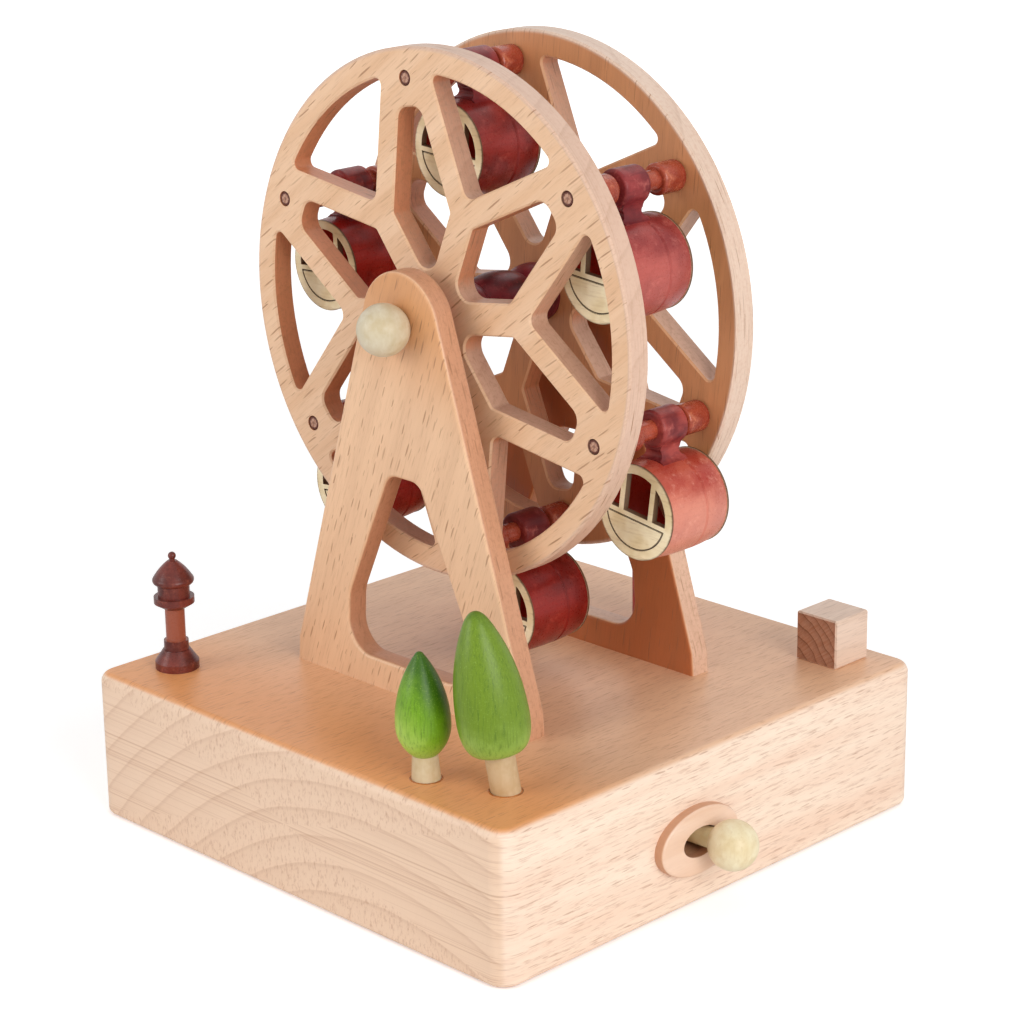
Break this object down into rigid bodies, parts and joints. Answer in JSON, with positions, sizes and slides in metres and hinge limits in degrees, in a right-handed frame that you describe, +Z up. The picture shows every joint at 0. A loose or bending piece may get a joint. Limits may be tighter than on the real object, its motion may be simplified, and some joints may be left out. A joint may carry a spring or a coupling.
{
  "type": "ferris wheel music toy",
  "caption": "Wooden ferris wheel toy with hanging gondolas between two pierced wheels, on a square music-box base with a side lever.",
  "frame": {"origin": "centre of the square base's underside, on the surface that the toy stands on", "axes": "+Z up; the wheel's axle lies along Y, with the lamp post and trees on the -Y side; the music lever is on the +X face"},
  "size_m": [0.1271, 0.115, 0.1538],
  "materials": {
    "beech_board": "satin oiled beech",
    "beech_end": "satin oiled beech",
    "brass": "turned brass",
    "lamp_wood": "dark stained wood",
    "leaf_green": "green stained wood",
    "maroon_wood": "stained and waxed hardwood",
    "pale_wood": "fine pale wood, waxed",
    "plate_wood": "pinkish beech, matt",
    "plywood": "bare plywood",
    "red_paint": "red painted wood",
    "steel": "bright zinc-plated steel"
  },
  "bodies": {
    "root": {"base_block": "beech_end", "bottom_cover": "plywood", "bottom_cover_screws": "steel", "front_support": "beech_board", "rear_support": "beech_board", "support_dowels": "pale_wood", "lamp_post": "lamp_wood", "small_tree_trunk": "pale_wood", "small_tree_crown": "leaf_green", "big_tree_trunk": "pale_wood", "big_tree_crown": "leaf_green", "corner_cube": "beech_board", "red_peg": "red_paint", "lever_plate": "plate_wood", "lever_pivot_screw": "steel", "movement_bedplate": "steel", "movement_screws": "steel", "comb": "steel", "comb_screws": "steel", "governor_frame": "steel"},
    "lever": {"lever_arm": "pale_wood", "lever_knob": "pale_wood"},
    "winder": {"spring_barrel": "brass", "winding_key": "steel"},
    "cylinder": {"music_cylinder": "brass"},
    "fly": {"governor_fly": "brass"},
    "wheel": {"front_wheel": "beech_board", "rear_wheel": "beech_board", "wheel_axle": "pale_wood", "front_axle_ball": "pale_wood", "rear_axle_ball": "pale_wood", "hub_spool": "maroon_wood", "front_washer": "maroon_wood", "rear_washer": "maroon_wood", "rod_1": "maroon_wood", "rod_2": "maroon_wood", "rod_3": "maroon_wood", "rod_4": "maroon_wood", "rod_5": "maroon_wood", "rod_6": "maroon_wood"},
    "gondola_1": {"gondola_1_drum": "maroon_wood", "gondola_1_hanger": "maroon_wood", "gondola_1_end_plates": "pale_wood"},
    "gondola_2": {"gondola_2_drum": "maroon_wood", "gondola_2_hanger": "maroon_wood", "gondola_2_end_plates": "pale_wood"},
    "gondola_3": {"gondola_3_drum": "maroon_wood", "gondola_3_hanger": "maroon_wood", "gondola_3_end_plates": "pale_wood"},
    "gondola_4": {"gondola_4_drum": "maroon_wood", "gondola_4_hanger": "maroon_wood", "gondola_4_end_plates": "pale_wood"},
    "gondola_5": {"gondola_5_drum": "maroon_wood", "gondola_5_hanger": "maroon_wood", "gondola_5_end_plates": "pale_wood"},
    "gondola_6": {"gondola_6_drum": "maroon_wood", "gondola_6_hanger": "maroon_wood", "gondola_6_end_plates": "pale_wood"}
  },
  "joints": [
    {"name": "wheel_spin", "type": "hinge", "parent": "root", "child": "wheel", "pos_m": [-0.001, 0.00035, 0.1035], "axis": [0, 1, 0], "continuous": true},
    {"name": "gondola_1_swing", "type": "hinge", "parent": "wheel", "child": "gondola_1", "pos_m": [-0.00704, 0.00035, 0.14759], "axis": [0, 1, 0], "continuous": true},
    {"name": "gondola_2_swing", "type": "hinge", "parent": "wheel", "child": "gondola_2", "pos_m": [-0.0422, 0.00035, 0.12031], "axis": [0, 1, 0], "continuous": true},
    {"name": "gondola_3_swing", "type": "hinge", "parent": "wheel", "child": "gondola_3", "pos_m": [-0.03616, 0.00035, 0.07623], "axis": [0, 1, 0], "continuous": true},
    {"name": "gondola_4_swing", "type": "hinge", "parent": "wheel", "child": "gondola_4", "pos_m": [0.00504, 0.00035, 0.05941], "axis": [0, 1, 0], "continuous": true},
    {"name": "gondola_5_swing", "type": "hinge", "parent": "wheel", "child": "gondola_5", "pos_m": [0.0402, 0.00035, 0.08669], "axis": [0, 1, 0], "continuous": true},
    {"name": "gondola_6_swing", "type": "hinge", "parent": "wheel", "child": "gondola_6", "pos_m": [0.03416, 0.00035, 0.13077], "axis": [0, 1, 0], "continuous": true},
    {"name": "lever_turn", "type": "hinge", "parent": "root", "child": "lever", "pos_m": [0.015, -0.0083, 0.0134], "axis": [0, 0, 1], "range_deg": [-6.17, 0]},
    {"name": "key_turn", "type": "hinge", "parent": "root", "child": "winder", "pos_m": [-0.014, 0, 0.0108], "axis": [0, 0, 1], "continuous": true},
    {"name": "cylinder_turn", "type": "hinge", "parent": "root", "child": "cylinder", "pos_m": [0, 0, 0.0184], "axis": [1, 0, 0], "continuous": true},
    {"name": "fly_spin", "type": "hinge", "parent": "root", "child": "fly", "pos_m": [0.007, -0.01253, 0.0134], "axis": [0, 0, 1], "continuous": true}
  ],
  "couplings": [
    {"joint": "gondola_1_swing", "follows": "wheel_spin", "ratio": -1},
    {"joint": "gondola_2_swing", "follows": "wheel_spin", "ratio": -1},
    {"joint": "gondola_3_swing", "follows": "wheel_spin", "ratio": -1},
    {"joint": "gondola_4_swing", "follows": "wheel_spin", "ratio": -1},
    {"joint": "gondola_5_swing", "follows": "wheel_spin", "ratio": -1},
    {"joint": "gondola_6_swing", "follows": "wheel_spin", "ratio": -1},
    {"joint": "cylinder_turn", "follows": "key_turn", "ratio": 3.6},
    {"joint": "fly_spin", "follows": "key_turn", "ratio": 10.8}
  ]
}
